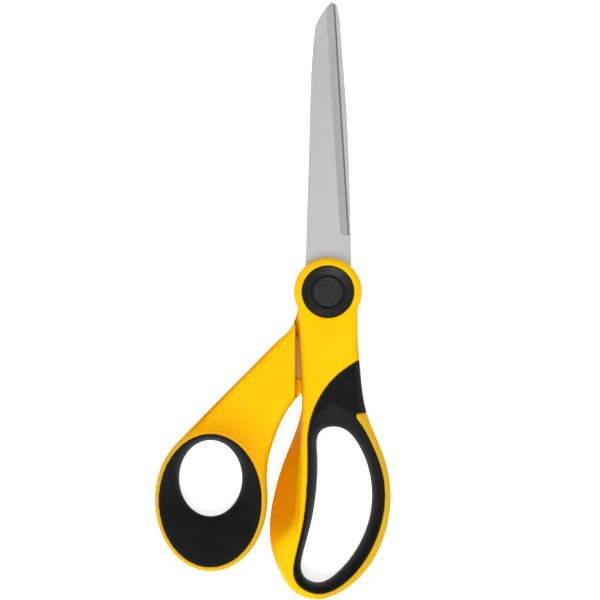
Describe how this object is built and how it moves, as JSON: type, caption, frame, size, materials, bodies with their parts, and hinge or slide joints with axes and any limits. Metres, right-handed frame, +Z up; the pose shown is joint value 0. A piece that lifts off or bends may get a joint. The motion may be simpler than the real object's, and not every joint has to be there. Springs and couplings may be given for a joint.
{
  "type": "scissors",
  "caption": "Office scissors with two steel blades on a screw pivot, hard handles with a wide finger loop and a round thumb loop, and soft grips. Opens and closes.",
  "frame": {"origin": "on the pivot's axis, at the plane that the closed scissors rest on when they lie on their back", "axes": "+Y from the pivot to the blade tips, +X to the finger loop's side, +Z up, out of the front face along the pivot's axis"},
  "size_m": [0.0854, 0.2164, 0.0144],
  "materials": {
    "blade": "fine brushed, ground edge",
    "handle": "satin moulded yellow",
    "grip": "soft matte black",
    "cap": "fine textured dark grey",
    "hardware": "zinc plated",
    "washer": "natural nylon"
  },
  "bodies": {
    "finger_half": {"front_blade": "blade", "finger_handle": "handle", "finger_grip": "grip", "front_cap_ring": "cap", "front_cap_disc": "cap", "pivot_screw": "hardware", "pivot_nut": "hardware", "friction_washer": "washer"},
    "thumb_half": {"back_blade": "blade", "thumb_handle": "handle", "thumb_grip": "grip", "back_cap": "cap"}
  },
  "joints": [
    {"name": "pivot", "type": "hinge", "parent": "finger_half", "child": "thumb_half", "pos_m": [0, 0, 0], "axis": [0, 0, -1], "range_deg": [0, 95]}
  ]
}
